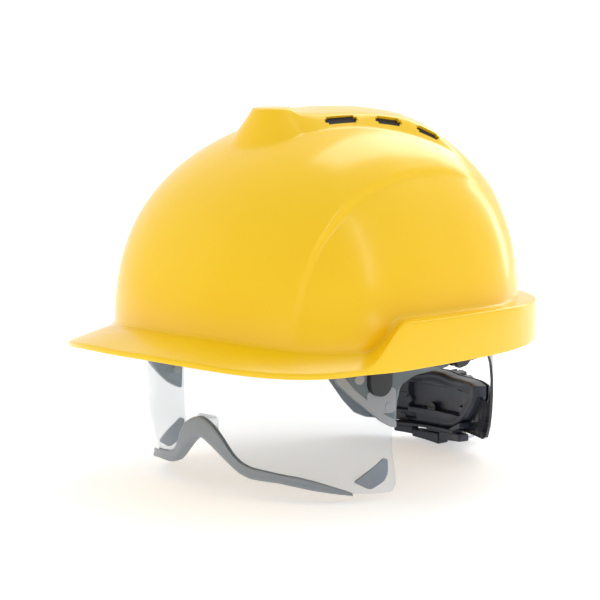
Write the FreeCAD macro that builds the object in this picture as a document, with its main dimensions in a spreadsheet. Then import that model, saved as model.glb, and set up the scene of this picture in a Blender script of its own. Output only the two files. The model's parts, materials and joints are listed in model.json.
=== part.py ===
"""Hard hat with a swing-down eye shield and a ratchet headband, as a parametric document.

Hat frame: +Z up, the wearer's face towards -Y, the wearer's left towards +X. Pieces are drawn about the
centre of the shell's rim plane and then placed so that the whole hat stands on Z = 0, centred on X and Y.
"""
import FreeCAD, Part
import math
import os

import Sketcher
from FreeCAD import Placement, Rotation, Vector

doc = FreeCAD.newDocument("hard_hat")
sheet = doc.addObject("Spreadsheet::Sheet", "Sizes")

SIZES = {
    # where the hat stands
    "hat_shift": 22.0, "rim_height": 80.0,
    # shell: half width, front and rear half lengths, crown height, wall
    "dome_half": 102.0, "dome_front": 127.0, "dome_rear": 107.5, "dome_crown": 124.0, "wall": 3.0,
    "brim_half": 111.5, "brim_front": 160.0, "brim_rear": 116.0,
    # raised crest on the crown, narrow in front and wide behind
    "crest_spread": 0.2, "crest_half": 14.0, "crest_slope": 12.0, "vent_tall": 5.0,
    # keys that hold the cradle in the shell
    "key_level": 50.0,
    # headband, sweatband and webbing
    "band_half": 80.0, "band_long": 97.0, "band_shift": 2.0, "band_thick": 2.0, "band_low": -6.0,
    "band_tall": 22.0, "band_gap": 46.0, "pad_thick": 4.0, "pad_tall": 28.0,
    "web_wide": 20.0, "web_thick": 1.4, "web_reach": 96.4, "web_rise": 84.0,
    # side pins, shared by the eye shield and the nape ratchet
    "pivot_y": 5.0, "pivot_z": -4.0, "pin_radius": 3.0, "pin_head": 6.5, "pin_end": 98.2,
    # eye shield
    "lens_half": 84.0, "lens_front": 101.0, "lens_rear": 37.0, "lens_thick": 2.2, "lens_top": 2.0,
    "arm_thick": 2.0, "trim_thick": 1.2,
    # nape ratchet
    "rack_radius": 90.0, "rack_centre": 5.0, "rack_thick": 1.6, "rack_tall": 24.0, "rack_gap": 0.5,
    "nape_z": -58.0, "nape_tall": 38.0, "nape_half": 44.0, "nape_wall": 5.4, "cover_thick": 3.2,
    "knob_radius": 20.0, "knob_thick": 12.0, "knob_front": 103.5,
    "pinion_radius": 6.0, "pinion_teeth": 12.0, "pinion_root": 4.7, "pinion_tip": 6.8,
    "pinion_front": 94.6, "pinion_long": 4.4, "hub_radius": 4.0, "hub_long": 11.9, "screw_radius": 1.5,
    "bush_start": 86.9, "bush_end": 95.9, "bush_radius": 4.2, "running_gap": 0.06,
}
for row, (alias, number) in enumerate(SIZES.items(), start=1):
    sheet.set(f"A{row}", alias)
    sheet.set(f"B{row}", str(number))
    sheet.setAlias(f"B{row}", alias)
doc.recompute()

made = []


def size(alias):
    return float(getattr(sheet, alias))


HOME = Placement(Vector(0, size("hat_shift"), size("rim_height")), Rotation())


def keep(obj, label):
    """Registers a finished sub-part under the name of its node."""
    obj.Label = label
    made.append(obj)
    return obj


def feature(label, shape):
    """A sub-part whose shape Part's own functions made, drawn about the rim centre."""
    obj = doc.addObject("Part::Feature", label)
    obj.Shape = shape
    obj.Placement = HOME.multiply(shape.Placement)
    return keep(obj, label)


def bind(obj, **sizes):
    for prop, rule in sizes.items():
        obj.setExpression(prop, rule)


# ------------------------------------------------------------------ outlines and lofts

OUTLINE_POWER = 2.28
OUTLINE_POINTS = 48


def power(value, exponent):
    return math.copysign(abs(value) ** exponent, value)


def ring_point(turn, half, front, rear, exponent, z):
    """A point of a rounded-rectangle oval; turn 0 is the front, a quarter turn the wearer's left."""
    side, fore = math.sin(turn), math.cos(turn)
    reach = front if fore > 0 else rear
    return Vector(half * power(side, 2 / exponent), -reach * power(fore, 2 / exponent), z)


def closed_curve(points):
    curve = Part.BSplineCurve()
    curve.interpolate(points, PeriodicFlag=True)
    return Part.Wire([curve.toShape()])


def profile(share, first, second):
    return max(0.0, 1 - share ** first) ** (1 / second)


def dome(inset, low, top_share=0.9925):
    """The crown as a solid, inset by a wall, from a level up to a small flat under the crest."""
    crown = size("dome_crown") - inset
    half, front, rear = (size(a) - inset for a in ("dome_half", "dome_front", "dome_rear"))
    steps = 11
    wires = []
    for i in range(steps):
        z = low + (crown * top_share - low) * math.sin(math.pi / 2 * i / (steps - 1))
        share = max(z, 0.0) / crown
        sizes = (half * profile(share, 2.56, 2.07), front * profile(share, 2.73, 1.72),
                 rear * profile(share, 3.02, 2.39))
        turns = [2 * math.pi * k / OUTLINE_POINTS for k in range(OUTLINE_POINTS)]
        wires.append(closed_curve([ring_point(t, *sizes, OUTLINE_POWER, z) for t in turns]))
    return Part.makeLoft(wires, True, False)


def dome_scale(x, y, z, inset):
    """How much further out the crown's surface lies than the point, level by level."""
    crown = size("dome_crown") - inset
    share = z / crown
    half = (size("dome_half") - inset) * profile(share, 2.56, 2.07)
    if y < 0:
        reach = (size("dome_front") - inset) * profile(share, 2.73, 1.72)
    else:
        reach = (size("dome_rear") - inset) * profile(share, 3.02, 2.39)
    total = abs(x / half) ** OUTLINE_POWER + abs(y / reach) ** OUTLINE_POWER
    return total ** (-1 / OUTLINE_POWER)


def prism(corners, direction):
    """A solid from a polygon of points, extruded along a vector."""
    face = Part.Face(Part.makePolygon(corners + [corners[0]]))
    return face.extrude(direction)


def side_prism(outline, low_x, high_x):
    """A solid from a (y, z) polygon, between two X planes."""
    return prism([Vector(low_x, y, z) for y, z in outline], Vector(high_x - low_x, 0, 0))


def front_prism(outline, low_y, high_y):
    """A solid from an (x, z) polygon, between two Y planes."""
    return prism([Vector(x, low_y, z) for x, z in outline], Vector(0, high_y - low_y, 0))


def mirrored(shape):
    return shape.mirror(Vector(0, 0, 0), Vector(1, 0, 0))


def box(low, high):
    return Part.makeBox(high[0] - low[0], high[1] - low[1], high[2] - low[2], Vector(*low))


def rod(radius, start, direction, length):
    return Part.makeCylinder(radius, length, Vector(*start), Vector(*direction))


def blend(value, low, high):
    """0 below low, 1 above high, with a smooth step between."""
    share = min(1.0, max(0.0, (value - low) / (high - low)))
    return share * share * (3 - 2 * share)


# ------------------------------------------------------------------ shell

GUTTER_FROM, GUTTER_TO = math.radians(62), math.radians(74)


def rim_section(turn):
    """The brim, flare or rain gutter at one turn, as a closed six-sided wire in a near-radial plane."""
    fold = min(turn, 2 * math.pi - turn)
    gutter = blend(fold, GUTTER_FROM, GUTTER_TO)
    front = 1 - blend(fold, math.radians(5), math.radians(60))
    low = -6.0 + 10.0 * front + 3.0 * math.sin(min(fold, math.pi / 2)) ** 6 - 1.0 * gutter
    base = 5.0 + 8.0 * front + gutter * (16.0 - 4.0 * blend(fold, math.radians(80), math.radians(170)))
    edge_tall = 3.0 + gutter * (base - low - 3.0)
    wall = size("wall")
    share = max(base, 0.0) / size("dome_crown")
    dome_sizes = (size("dome_half") * profile(share, 2.56, 2.07),
                  size("dome_front") * profile(share, 2.73, 1.72),
                  size("dome_rear") * profile(share, 3.02, 2.39), OUTLINE_POWER)
    edge_sizes = (size("brim_half"), size("brim_front"), size("brim_rear"), 2.3)
    on_dome = ring_point(turn, *dome_sizes, base)
    edge = ring_point(turn, *edge_sizes, low)
    inward = Vector(on_dome.x - edge.x, on_dome.y - edge.y, 0).normalize()
    root = on_dome + inward * (wall / 2)
    corners = [
        root,
        Vector(edge.x, edge.y, low + edge_tall),
        edge,
        edge + inward * wall,
        edge + inward * wall + Vector(0, 0, edge_tall - 0.8 * wall),
        root - Vector(0, 0, 0.8 * wall),
    ]
    return Part.makePolygon(corners + [corners[0]])


def rim():
    stations = 72
    wires = [rim_section(2 * math.pi * k / stations) for k in range(stations)]
    return Part.makeLoft(wires + [wires[0]], True, True)


CREST_TOP = [(-72, 103.0), (-64, 112.5), (-55, 124.8), (-45, 126.0), (-20, 128.0), (0, 128.6), (20, 127.6),
             (40, 123.6), (60, 115.6), (78, 102.5), (92, 83.0)]


def crest_section(y, top, inset):
    spread = max(0.0, y - (-45)) * size("crest_spread")
    nose = 1 - blend(y, -72, -50)
    top_half = size("crest_half") + spread - 7.0 * nose - inset * 0.6
    foot_half = top_half + size("crest_slope") - 4.0 * nose
    top -= inset
    edge = top - 1.2 - 0.018 * spread * spread
    foot = edge - 14.0
    corners = [Vector(foot_half, y, foot), Vector(top_half, y, edge)]
    arc = Part.Arc(corners[1], Vector(0, y, top), Vector(-top_half, y, edge)).toShape()
    sides = [Part.makeLine(corners[0], corners[1]), arc,
             Part.makeLine(Vector(-top_half, y, edge), Vector(-foot_half, y, foot)),
             Part.makeLine(Vector(-foot_half, y, foot), corners[0])]
    return Part.Wire(sides)


def crest(inset):
    stations = [(y, z) for y, z in CREST_TOP if not inset or -56 < y < 80]
    wires = [crest_section(y + (inset if y == stations[0][0] else 0), z, inset) for y, z in stations]
    return Part.makeLoft(wires, True, False)


VENTS = [(-15.0, 19.0, 0.0), (17.0, 15.0, -4.0), (45.0, 14.0, -16.0)]


def vent_cutters():
    """The six slots in the flanks of the crest, three a side, longest in front."""
    slots = []
    tall = size("vent_tall")
    fan = math.degrees(math.atan(size("crest_spread")))
    for y, length, pitch in VENTS:
        half = size("crest_half") + (y + 45) * size("crest_spread")
        level = 121.0 if y < 0 else 121.0 - 0.0052 * y * y
        slot = Part.makeBox(26, length, tall, Vector(-8, -length / 2, -tall / 2))
        slot.rotate(Vector(0, 0, 0), Vector(1, 0, 0), pitch)
        slot.rotate(Vector(0, 0, 0), Vector(0, 0, 1), -fan)
        slot.translate(Vector(half + 6, y, level))
        slots += [slot, mirrored(slot)]
    return slots


KEYS = {"left_side_key": (1, 15.0, 9.3), "right_side_key": (-1, 15.0, 9.3),
        "left_rear_key": (1, 50.0, 7.9), "right_rear_key": (-1, 50.0, 7.9)}


def key_frame(name):
    """A key's own axes on the shell's inner face: X outwards, Y along the wall, Z up from the rim."""
    side, y, _ = KEYS[name]
    level = size("key_level") + 10
    out = dome_scale(80.0, y * 0.9, level, size("wall"))
    angle = math.degrees(math.atan2(y * 0.75, 80.0))
    turn = Rotation(Vector(0, 0, 1), angle if side > 0 else 180 - angle)
    return Placement(Vector(side * 80.0 * out, y * 0.9 * out, 0), turn)


def in_key_frame(name, low, high):
    block = box(low, high)
    block.Placement = key_frame(name)
    return block


def build_shell():
    wall = size("wall")
    level = size("key_level")
    body = dome(0, 0).fuse([crest(0), rim()])
    hollow = dome(wall, -12).fuse(crest(wall))
    body = body.cut(hollow)
    sockets = [in_key_frame(n, (-9, -13, level), (4, 13, level + 16)).common(dome(wall / 2, -12)) for n in KEYS]
    slots = [in_key_frame(n, (-6.7, -10.3, level - 1), (-3.3, 10.3, level + 13)) for n in KEYS]
    body = body.fuse(sockets).cut(slots + vent_cutters())
    return body.removeSplitter()


def build_vent_screen():
    """The black screen that lies under the crest and closes the vents to view."""
    screen = crest(3.6).cut(crest(5.2))
    return screen.common(box((-60, -52, 104), (60, 76, 140)))


# ------------------------------------------------------------------ cradle

def oval_wall(half, reach, shift, thick, low, tall, exponent=2.28):
    """A band standing on end, following an oval whose front and rear reach are equal."""
    turns = [2 * math.pi * k / OUTLINE_POINTS for k in range(OUTLINE_POINTS)]
    outer = [ring_point(t, half, reach, reach, exponent, low) for t in turns]
    inner = [ring_point(t, half - thick, reach - thick, reach - thick, exponent, low) for t in turns]
    band = Part.Face(closed_curve(outer)).cut(Part.Face(closed_curve(inner)))
    band.translate(Vector(0, shift, 0))
    return band.extrude(Vector(0, 0, tall)).Solids[0]


def pivot_rod(radius, low_x, high_x):
    """A cylinder on the side pins' axis."""
    return rod(radius, (low_x, size("pivot_y"), size("pivot_z")), (1, 0, 0), high_x - low_x)


def build_headband():
    thick, gap = size("band_thick"), size("band_gap")
    half = size("band_half")
    low, tall = size("band_low"), size("band_tall")
    band = oval_wall(half, size("band_long"), size("band_shift"), thick, low, tall)
    band = band.cut(box((-gap, 0, low - 1), (gap, 120, low + tall + 1)))
    lug = pivot_rod(9, half - thick, half + 1.4)
    hole = pivot_rod(size("pin_radius") + 0.05, half - 6, half + 6)
    return band.fuse([lug, mirrored(lug)]).cut([hole, mirrored(hole)]).removeSplitter()


def build_sweatband():
    inset = size("band_thick") + 0.3
    pad = oval_wall(size("band_half") - inset, size("band_long") - inset, size("band_shift"),
                    size("pad_thick"), size("band_low") - 3, size("pad_tall"))
    return pad.cut(box((-120, -22, -60), (120, 120, 60)))


def web_angle():
    return math.degrees(math.atan2(71.3 + size("band_shift"), 57.6))


def build_strap(side, lift):
    """One webbing strap: up from the headband, over the head and down to the headband behind."""
    reach, rise, thick = size("web_reach"), size("web_rise") + lift, size("web_thick")
    foot = size("band_low") + size("band_tall") - 2
    tail = 14.0
    curves = []
    for grow in (0.0, thick):
        arc = Part.Ellipse(Vector(0, 0, foot), reach + grow, rise + grow)
        edge = arc.toShape(0, math.pi)
        edge.rotate(Vector(0, 0, foot), Vector(1, 0, 0), 90)
        curves.append(edge)
    ends = [reach, reach + thick]
    path = [curves[0], curves[1]]
    path += [Part.makeLine(Vector(s * e, 0, foot), Vector(s * e, 0, foot - tail)) for s in (1, -1) for e in ends]
    path += [Part.makeLine(Vector(s * ends[0], 0, foot - tail), Vector(s * ends[1], 0, foot - tail))
             for s in (1, -1)]
    outline = Part.Wire(Part.__sortEdges__(path))
    strap = Part.Face(outline).extrude(Vector(0, size("web_wide"), 0))
    strap.translate(Vector(0, size("band_shift") - size("web_wide") / 2, 0))
    strap.rotate(Vector(0, size("band_shift"), 0), Vector(0, 0, 1), side * web_angle())
    return strap


def build_key(name):
    """A flat key: its blade goes up into the shell's socket, its leg hooks on the headband."""
    reach = KEYS[name][2]
    level = size("key_level")
    blade = in_key_frame(name, (-6.5, -10, level - 12), (-3.5, 10, level + 12))
    web = in_key_frame(name, (-reach, -8, level - 16), (-3.5, 8, level - 12))
    leg = in_key_frame(name, (-reach, -8, 4), (2.6 - reach, 8, level - 12))
    return blade.fuse([web, leg]).removeSplitter()


# ------------------------------------------------------------------ eye shield

LENS_EXPONENT = 2.4
LENS_EDGE = [(0, -46.2), (7.7, -51), (13, -55), (20.4, -60), (26.5, -64), (34, -66.4), (43, -66.8),
             (52, -67.2), (62, -69), (74, -72), (84, -74)]
TRIM_TOP = [(0, -36.5), (5.6, -38), (12, -41.6), (17.2, -47.3), (21.7, -54), (26.7, -58.8), (34, -61.2),
            (43, -62.2), (62, -64.5), (84, -69)]


def lens_wall(outset, thick, low, tall):
    """A wall on the shield's plan: an oval's front half, straight behind it as far as asked."""
    turns = [math.pi * (k / 24 - 0.5) for k in range(25)]
    rear, depth = -size("lens_rear"), size("lens_front") - size("lens_rear")
    rims = []
    for grow in (outset, outset - thick):
        points = []
        for turn in turns:
            p = ring_point(turn, size("lens_half") + grow, depth + grow, depth + grow, LENS_EXPONENT, low)
            points.append(p + Vector(0, rear, 0))
        curve = Part.BSplineCurve()
        curve.interpolate(points)
        rims.append((curve.toShape(), points))
    links = [Part.makeLine(rims[0][1][i], rims[1][1][i]) for i in (0, -1)]
    outline = Part.Wire(Part.__sortEdges__([rims[0][0], rims[1][0]] + links))
    return Part.Face(outline).extrude(Vector(0, 0, tall))


def below_line(line, offset=0.0, floor=-110.0):
    """Everything below a line across the shield's front, moved up by the offset, as a solid along Y."""
    right = [Vector(x, -130, z + offset) for x, z in line]
    left = [Vector(-p.x, p.y, p.z) for p in reversed(right[1:])]
    curve = Part.BSplineCurve()
    curve.interpolate(left + right)
    far = [Vector(s * 100, -130, line[-1][1] + offset) for s in (1, -1)]
    sides = [Part.makeLine(right[-1], far[0]), Part.makeLine(far[0], Vector(100, -130, floor)),
             Part.makeLine(Vector(100, -130, floor), Vector(-100, -130, floor)),
             Part.makeLine(Vector(-100, -130, floor), far[1]), Part.makeLine(far[1], left[0])]
    outline = Part.Wire(Part.__sortEdges__([curve.toShape()] + sides))
    return Part.Face(outline).extrude(Vector(0, 160, 0))


def build_lens():
    top = size("lens_top")
    lens = lens_wall(0, size("lens_thick"), -80, top + 80)
    return lens.cut([below_line(LENS_EDGE)] + rivet_rods(1.5))


def build_trim(lens):
    """The soft edge along the shield's lower side and over the nose, a channel the lens sits in."""
    grow = size("trim_thick")
    band = lens_wall(grow, size("lens_thick") + 2 * grow + 1.5, -80, 70)
    band = band.cut(below_line(LENS_EDGE, -grow)).common(below_line(TRIM_TOP))
    band = band.common(box((-90, -120, -80), (90, -62, 0)))
    return band.cut(lens)


def build_nose_bridge():
    behind = size("lens_thick") + size("trim_thick") + 1.6
    inner = lens_wall(-behind, 3.2, -46.5, 10)
    return inner.common(box((-8, -120, -50), (8, -60, 0)))


ARM_OUTLINE = [(-76, -4), (-74, -13), (-64, -22), (-46, -35), (-38, -40), (-37, -26), (-20, -13),
               (5, -12.5), (11, -10), (13.5, -4), (10.5, 1.2), (5, 3.4), (-20, 2), (-40, 0), (-60, 0)]
RIVETS = [(-62, -11), (-43, -28)]


def rivet_rods(radius):
    """Rods through the lens and a side arm, at both rivets of both sides."""
    rods = [rod(radius, (60, y, z), (1, 0, 0), 40) for y, z in RIVETS]
    return rods + [mirrored(r) for r in rods]


def build_lens_arm(side):
    """The side arm: it lies on the lens's upper rear corner and reaches back to the side pin."""
    half, thick = size("lens_half") + 0.2, size("arm_thick")
    plate = lens_wall(thick + 0.2, thick, -60, 80)
    straight = box((half, -size("lens_rear"), -60), (half + thick, 30, 20))
    blank = plate.fuse(straight).common(box((40, -120, -60), (120, 40, 20)))
    arm = blank.common(side_prism(ARM_OUTLINE, 40, 120))
    arm = arm.cut([pivot_rod(size("pin_radius") + 0.08, 60, 100)] + rivet_rods(1.5)).removeSplitter()
    return arm if side > 0 else mirrored(arm)


def build_rivets():
    """Pins from the lens's inner face to the arm's outer face, with a thin head at each end."""
    inner, outer = -size("lens_thick"), size("arm_thick") + 0.2
    shanks = lens_wall(outer + 0.7, outer - inner + 1.4, -60, 80)
    low_heads = lens_wall(inner - 0.05, 0.65, -60, 80)
    high_heads = lens_wall(outer + 0.7, 0.65, -60, 80)
    solids = []
    for thin, wide in zip(rivet_rods(1.45), rivet_rods(2.6)):
        pieces = [thin.common(shanks), wide.common(low_heads), wide.common(high_heads)]
        solids.append(pieces[0].fuse(pieces[1:]).removeSplitter().Solids[0])
    return Part.makeCompound(solids)


def build_tab(side):
    """The finger tab on a side arm."""
    half = size("lens_half") + size("arm_thick") + 0.3
    tab = rod(7.5, (half, -50, -13.5), (1, 0, 0), 3).fuse(box((half, -57.5, -13.5), (half + 3, -42.5, -4)))
    tab = tab.removeSplitter()
    return tab if side > 0 else mirrored(tab)


CORNER_OUTLINE = [(-59.5, -67), (-50.5, -71.5), (-41, -68.5), (-38.8, -64.5), (-38.8, -59), (-41.5, -58),
                  (-46, -60), (-53.5, -64)]


def build_corner_pads():
    """Soft patches inside the shield's lower rear corners."""
    plate = lens_wall(-size("lens_thick") - 0.1, 1.2, -80, 60)
    pad = plate.common(side_prism(CORNER_OUTLINE, 40, 120))
    return Part.makeCompound([pad, mirrored(pad)])


# ------------------------------------------------------------------ nape ratchet

def sector(low_radius, high_radius, half_turn, low, high, start=None):
    """Part of a ring about the racks' axis, centred behind the head; turns in degrees."""
    start = -half_turn if start is None else start
    ring = Part.makeCylinder(high_radius, high - low, Vector(0, 0, low), Vector(0, 0, 1), half_turn - start)
    core = Part.makeCylinder(low_radius, high - low + 2, Vector(0, 0, low - 1))
    ring = ring.cut(core)
    ring.rotate(Vector(0, 0, 0), Vector(0, 0, 1), 90 - half_turn)
    ring.translate(Vector(0, size("rack_centre"), 0))
    return ring


def rack_radii(side):
    low = size("rack_radius") + (0 if side > 0 else size("rack_thick") + size("rack_gap"))
    return low, low + size("rack_thick")


def arm_level(turn):
    """Height of an arm's middle and its width, by the turn forward from the nape."""
    climb = blend(turn, 34, 66)
    return size("nape_z") + (size("pivot_z") - size("nape_z")) * climb, size("rack_tall") - 12 * blend(turn, 30, 46)


def build_rack_arm(side):
    """One arm of the ratchet: toothed behind the nape, then rising round the head to the side pin."""
    low, high = rack_radii(side)
    wires = []
    for k in range(25):
        turn = -17.5 + 107.5 * k / 24
        middle, tall = arm_level(turn)
        across = Vector(math.sin(math.radians(turn)), math.cos(math.radians(turn)), 0)
        shift = Vector(0, size("rack_centre"), middle)
        up = Vector(0, 0, tall / 2)
        corners = [across * low + shift + up, across * high + shift + up,
                   across * high + shift - up, across * low + shift - up]
        wires.append(Part.makePolygon(corners + [corners[0]]))
    arm = Part.makeLoft(wires, True, True)
    centre_y = size("rack_centre")
    eye = rod(7, (low - 1, centre_y, size("pivot_z")), (1, 0, 0), high - low + 2)
    ring = sector(low, high, 96, -30, 20, 80)
    arm = arm.fuse(eye.common(ring))
    loose = rod(5.6, (60, size("pivot_y"), size("pivot_z")), (1, 0, 0), 60)
    arm = arm.cut([loose, rack_slot(side)])
    return arm if side > 0 else mirrored(arm)


def rack_slot(side):
    """The toothed window: teeth on its upper edge in the left arm, on its lower edge in the right."""
    z, radius = size("nape_z"), size("pinion_radius")
    pitch = 2 * math.pi * radius / size("pinion_teeth")
    tips, roots, clear = radius - 0.8, radius + 1.0, radius + 1.3
    half = 3.5 + 16 + pitch
    window = front_prism([(-half - 3, z - clear), (half + 3, z - clear), (half + 3, z + tips),
                          (-half - 3, z + tips)], 80, 110)
    gaps = []
    for k in range(-6, 7):
        x = k * pitch
        gaps.append(front_prism([(x - 1.35, z + tips - 0.1), (x + 1.35, z + tips - 0.1),
                                 (x + 0.75, z + roots), (x - 0.75, z + roots)], 80, 110))
    slot = window.fuse(gaps)
    return slot if side > 0 else slot.rotate(Vector(0, 0, z), Vector(0, 1, 0), 180)


def nape_span():
    return math.degrees(math.asin(size("nape_half") / size("rack_radius")))


def nape_floor():
    return size("nape_z") - size("nape_tall") / 2


def build_nape_housing():
    low, high = nape_floor(), nape_floor() + size("nape_tall")
    inner = size("rack_radius") - 0.6 - size("nape_wall")
    outer = size("rack_radius") + 2 * size("rack_thick") + size("rack_gap") + 0.6
    span = nape_span()
    z = size("nape_z")
    body = sector(inner, outer, span, low, high)
    channel = sector(size("rack_radius") - 0.6, outer + 1, span + 1, low + 6, high - 6)
    recess = sector(inner - 1, inner + 3, 18, z - 11, z + 12, -5)
    chin = sector(inner, inner + 7, 9, low - 3, low)
    hole = rod(size("screw_radius") + 0.05, (0, 80, z), (0, 1, 0), 30)
    corners = [rod(1.6, (s * 24, 70, z + t * 15.9), (0, 1, 0), 50) for s in (1, -1) for t in (1, -1)]
    return body.fuse(chin).cut([channel, recess, hole] + corners).removeSplitter()


def build_nape_cover():
    low, high = nape_floor(), nape_floor() + size("nape_tall")
    inner = size("rack_radius") + 2 * size("rack_thick") + size("rack_gap") + 0.7
    plate = sector(inner, inner + size("cover_thick"), nape_span(), low, high)
    z = size("nape_z")
    hole = rod(size("hub_radius") + 0.06, (0, 80, z), (0, 1, 0), 40)
    corners = [rod(1.2, (s * 24, 70, z + t * 15.9), (0, 1, 0), 50) for s in (1, -1) for t in (1, -1)]
    return plate.cut([hole] + corners)


def build_housing_screws():
    """Four countersunk screws that hold the cover on the housing's corners."""
    z, end = size("nape_z"), 100.5
    screws = []
    for across in (24, -24):
        for up in (15.9, -15.9):
            shank = rod(1.1, (across, 88.6, z + up), (0, 1, 0), end - 88.6)
            head = rod(1.5, (across, 87.2, z + up), (0, 1, 0), 1.6)
            screws.append(shank.fuse(head).removeSplitter())
    return Part.makeCompound(screws)


# ------------------------------------------------------------------ pins, bushes and washers

SIDEWAYS = Rotation(Vector(0, 1, 0), 90)
BACKWARDS = Rotation(Vector(1, 0, 0), -90)


def cylinder(name, radius, length, place, turn):
    """A cylinder whose radius and length are rules of the sheet."""
    obj = doc.addObject("Part::Cylinder", name)
    bind(obj, Radius=radius, Height=length)
    obj.Placement = Placement(Vector(*place), turn)
    return obj


def boolean(kind, label, base, tool):
    obj = doc.addObject(kind, label)
    obj.Base = base
    obj.Tool = tool
    return obj


def finish(obj, label):
    obj.Placement = HOME
    return keep(obj, label)


def build_side_pin(hand, side):
    """A headed pin, pressed into the headband's lug."""
    place = [side * (size("band_half") - size("band_thick")), size("pivot_y"), size("pivot_z")]
    turn = SIDEWAYS if side > 0 else Rotation(Vector(0, 1, 0), -90)
    shank = cylinder(f"{hand}_pin_shank", "Sizes.pin_radius", "Sizes.pin_end - Sizes.band_half", place, turn)
    place[0] = side * (size("pin_end") - 2)
    head = cylinder(f"{hand}_pin_head", "Sizes.pin_head", "2", place, turn)
    finish(boolean("Part::Fuse", f"{hand}_side_pin", shank, head), f"{hand}_side_pin")


def build_bush(hand, side):
    """A flanged bush that turns on the side pin and carries the rack arm's eye."""
    turn = SIDEWAYS if side > 0 else Rotation(Vector(0, 1, 0), -90)
    place = [side * size("bush_start"), size("pivot_y"), size("pivot_z")]
    long = "Sizes.bush_end - Sizes.bush_start"
    sleeve = cylinder(f"{hand}_bush_sleeve", "Sizes.bush_radius", long, place, turn)
    bore = cylinder(f"{hand}_bush_bore", "Sizes.pin_radius + Sizes.running_gap", long, place, turn)
    place[0] = side * (size("bush_end") - 1)
    flange = cylinder(f"{hand}_bush_flange", "Sizes.bush_radius + 3.3", "1", place, turn)
    whole = boolean("Part::Fuse", f"{hand}_bush_blank", sleeve, flange)
    finish(boolean("Part::Cut", f"{hand}_bush", whole, bore), f"{hand}_bush")


def build_click_ring():
    """A thin spring ring between the cover and the knob that the knob clicks on."""
    place = (0, size("knob_front") - 0.7, size("nape_z"))
    disc = cylinder("click_disc", "Sizes.hub_radius + 3", "0.4", place, BACKWARDS)
    hole = cylinder("click_hole", "Sizes.hub_radius + 0.1", "0.4", place, BACKWARDS)
    finish(boolean("Part::Cut", "click_ring", disc, hole), "click_ring")


def build_axle_screw():
    """The screw that the pinion turns on; its head lies in the housing's recess."""
    inner = size("rack_centre") + size("rack_radius") - 0.6 - size("nape_wall") + 3
    shank = cylinder("axle_shank", "Sizes.screw_radius", "14", (0, inner - 0.2, size("nape_z")), BACKWARDS)
    head = cylinder("axle_head", "Sizes.screw_radius * 2", "2", (0, inner - 2.1, size("nape_z")), BACKWARDS)
    whole = boolean("Part::Fuse", "axle_blank", shank, head)
    slot = doc.addObject("Part::Box", "axle_slot")
    bind(slot, Length="5", Width="0.8", Height="0.7")
    slot.Placement = Placement(Vector(-2.5, inner - 2.3, size("nape_z") - 0.35), Rotation())
    finish(boolean("Part::Cut", "axle_screw", whole, slot), "axle_screw")


def build_strap_patch():
    """The stitched patch where the two straps cross."""
    top = size("band_low") + size("band_tall") - 2 + size("web_rise") + 1.9 + size("web_thick") + 0.15
    patch = cylinder("strap_patch", "Sizes.web_wide * 0.7", "1.2", (0, size("band_shift"), top), Rotation())
    patch.Placement = HOME.multiply(patch.Placement)
    keep(patch, "strap_patch")


# ------------------------------------------------------------------ knob and pinion

def body_on_nape_axis(label, front):
    """A PartDesign body whose own +Z runs backwards along the knob's axis."""
    body = doc.addObject("PartDesign::Body", label)
    body.Placement = HOME.multiply(Placement(Vector(0, front, size("nape_z")), BACKWARDS))
    return keep(body, label)


def flat_sketch(body, name, level="0"):
    plane = next(f for f in body.Origin.OriginFeatures if f.Role == "XY_Plane")
    sketch = body.newObject("Sketcher::SketchObject", name)
    sketch.AttachmentSupport = [(plane, "")]
    sketch.MapMode = "FlatFace"
    sketch.setExpression("AttachmentOffset.Base.z", level)
    return sketch


def add_circle(sketch, radius):
    """A circle about the sketch's origin whose radius is a rule of the sheet."""
    index = sketch.addGeometry(Part.Circle(Vector(), Vector(0, 0, 1), 3.0))
    sketch.addConstraint(Sketcher.Constraint("Coincident", index, 3, -1, 1))
    rule = sketch.addConstraint(Sketcher.Constraint("Radius", index, 3.0))
    sketch.setExpression(f"Constraints[{rule}]", radius)


def add_polygon(sketch, corners):
    lines = [Part.LineSegment(Vector(*p, 0), Vector(*q, 0)) for p, q in zip(corners, corners[1:] + corners[:1])]
    first = sketch.addGeometry(lines)[0]
    for k in range(len(corners)):
        ahead = first + (k + 1) % len(corners)
        sketch.addConstraint(Sketcher.Constraint("Coincident", first + k, 2, ahead, 1))
    return first


def pad(body, name, sketch, length):
    feat = body.newObject("PartDesign::Pad", name)
    feat.Profile = sketch
    feat.setExpression("Length", length)
    return feat


def pocket(body, name, sketch, length):
    feat = body.newObject("PartDesign::Pocket", name)
    feat.Profile = sketch
    feat.Reversed = True
    feat.setExpression("Length", length)
    return feat


def around_axis(body, name, original, count):
    axis = next(f for f in body.Origin.OriginFeatures if f.Role == "Z_Axis")
    pattern = body.newObject("PartDesign::PolarPattern", name)
    pattern.Originals = [original]
    pattern.Axis = (axis, [""])
    pattern.Angle = 360
    pattern.setExpression("Occurrences", count)
    body.Tip = pattern
    return pattern


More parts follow.
